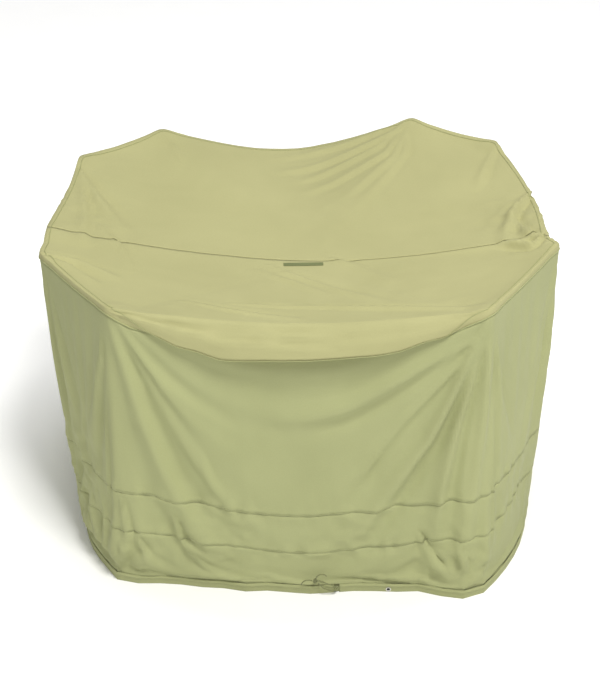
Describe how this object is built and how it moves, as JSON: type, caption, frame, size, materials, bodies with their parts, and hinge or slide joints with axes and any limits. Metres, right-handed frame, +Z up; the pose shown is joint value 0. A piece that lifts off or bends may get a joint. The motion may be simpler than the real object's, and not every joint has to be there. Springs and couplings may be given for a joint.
{
  "type": "grill cover",
  "caption": "Draped woven cover for a large grill: round top in two halves, banded skirt, drawcord hem with eyelets, hanging open underneath.",
  "frame": {"origin": "on the floor under the middle of the bounding box", "axes": "+X to the cover's right, its longest side; +Y to its rear; +Z up, its shortest side. The draped lip, hem opening and knot face -Y"},
  "size_m": [1.516, 1.3676, 0.986],
  "materials": {
    "top_cloth": "coated woven polyester",
    "skirt_cloth": "coated woven polyester",
    "seam_tape": "smooth sealing tape",
    "label": "plain woven label",
    "cord": "braided cord",
    "eyelet_metal": "satin"
  },
  "bodies": {
    "root": {"cross_seam_tape": "seam_tape", "drawcord": "cord", "drawcord_knot": "cord", "drawcord_strand_left": "cord", "drawcord_strand_right": "cord", "drawcord_tail_left": "cord", "drawcord_tail_right": "cord", "eyelet_01": "eyelet_metal", "eyelet_02": "eyelet_metal", "eyelet_03": "eyelet_metal", "eyelet_04": "eyelet_metal", "eyelet_washer_01": "eyelet_metal", "eyelet_washer_02": "eyelet_metal", "eyelet_washer_03": "eyelet_metal", "eyelet_washer_04": "eyelet_metal", "hem_left": "skirt_cloth", "hem_right": "skirt_cloth", "label": "label", "lower_band_front": "skirt_cloth", "lower_band_rear": "skirt_cloth", "lower_seam_tape_front": "seam_tape", "lower_seam_tape_rear": "seam_tape", "middle_band_front": "skirt_cloth", "middle_band_rear": "skirt_cloth", "side_seam_tape_left": "seam_tape", "side_seam_tape_right": "seam_tape", "top_panel_front": "top_cloth", "top_panel_rear": "top_cloth", "top_welt_front": "skirt_cloth", "top_welt_rear": "skirt_cloth", "upper_seam_tape_front": "seam_tape", "upper_seam_tape_rear": "seam_tape", "upper_wall_front": "skirt_cloth", "upper_wall_rear": "skirt_cloth"}
  },
  "joints": []
}
